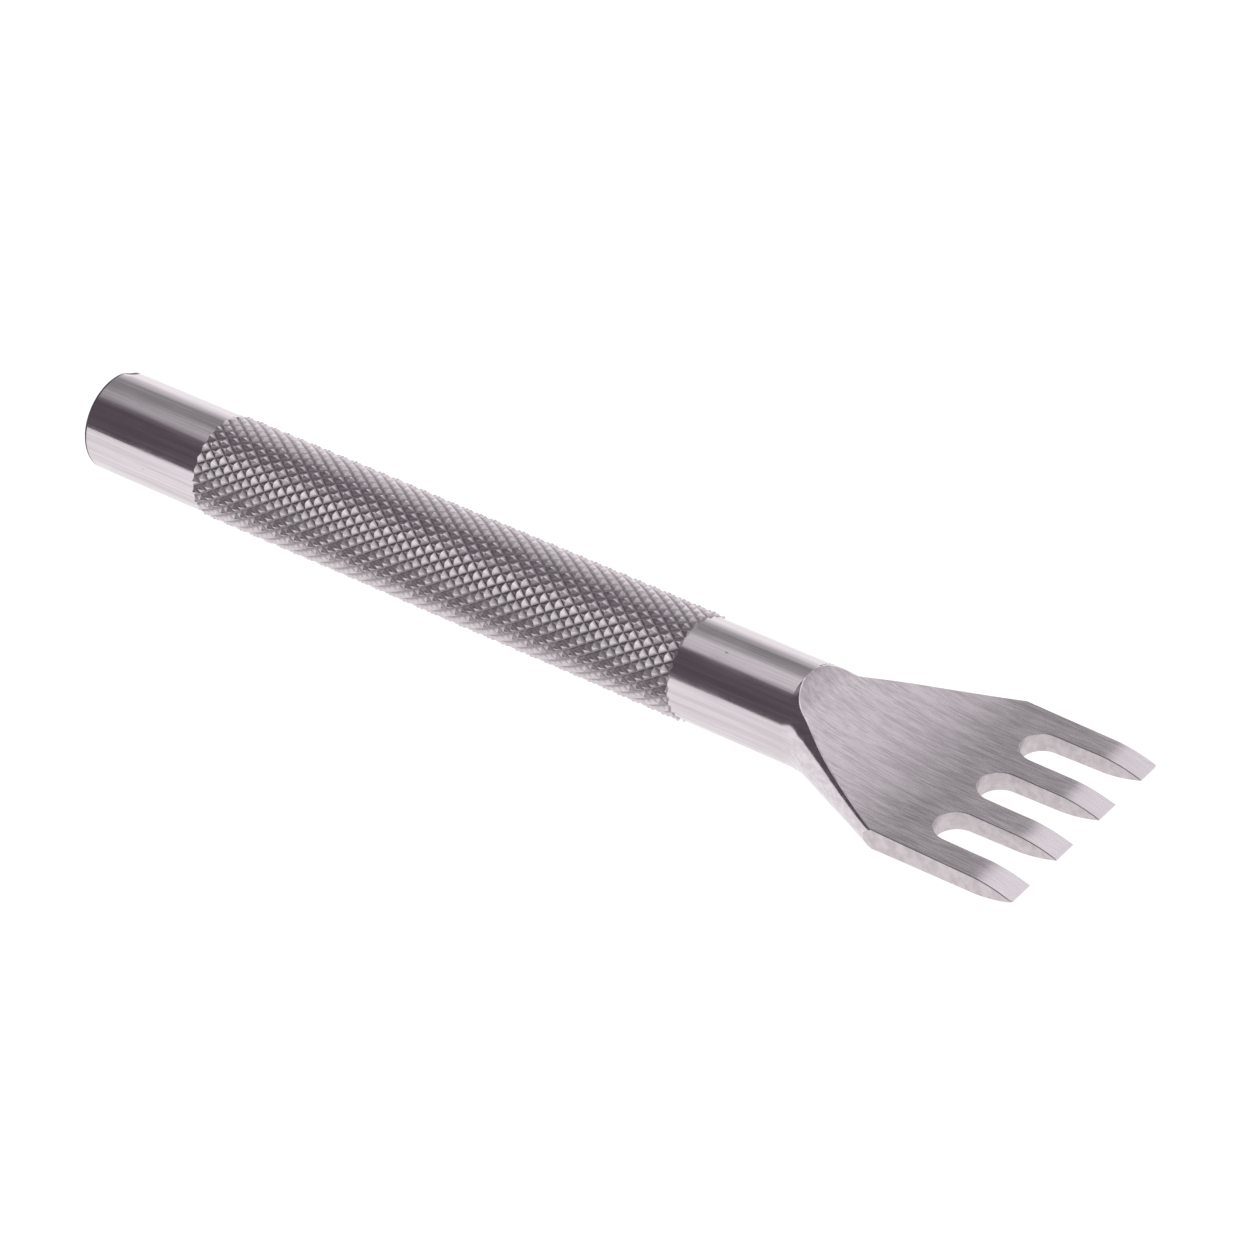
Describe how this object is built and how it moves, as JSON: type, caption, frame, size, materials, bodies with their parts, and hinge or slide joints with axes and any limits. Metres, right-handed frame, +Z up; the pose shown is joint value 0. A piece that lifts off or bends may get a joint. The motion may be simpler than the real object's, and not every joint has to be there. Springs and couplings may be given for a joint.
{
  "type": "pricking iron",
  "caption": "Hand-struck leather pricking iron: round knurled steel grip, plain striking end and a fan-shaped hollow-ground head with parallel flat tines ending in thin straight edges.",
  "frame": {"origin": "bottom centre of the bounding box: the surface the tool lies on, under the middle of its length, with the tool's axis one grip radius above it", "axes": "+X along the tool from the striking face to the cutting edges, +Y across the row of tines, +Z up, square to the blade"},
  "size_m": [0.1024, 0.0208, 0.0095],
  "materials": {
    "ground_steel": "bright ground faces with fine lengthwise grinding lines on the blade, polished round shank",
    "knurled_steel": "bright diamond knurl with dark grooves",
    "polished_steel": "turned and polished, with faint marks of use"
  },
  "bodies": {
    "root": {"tine_head": "ground_steel", "knurled_grip": "knurled_steel", "striking_cap": "polished_steel"}
  },
  "joints": []
}
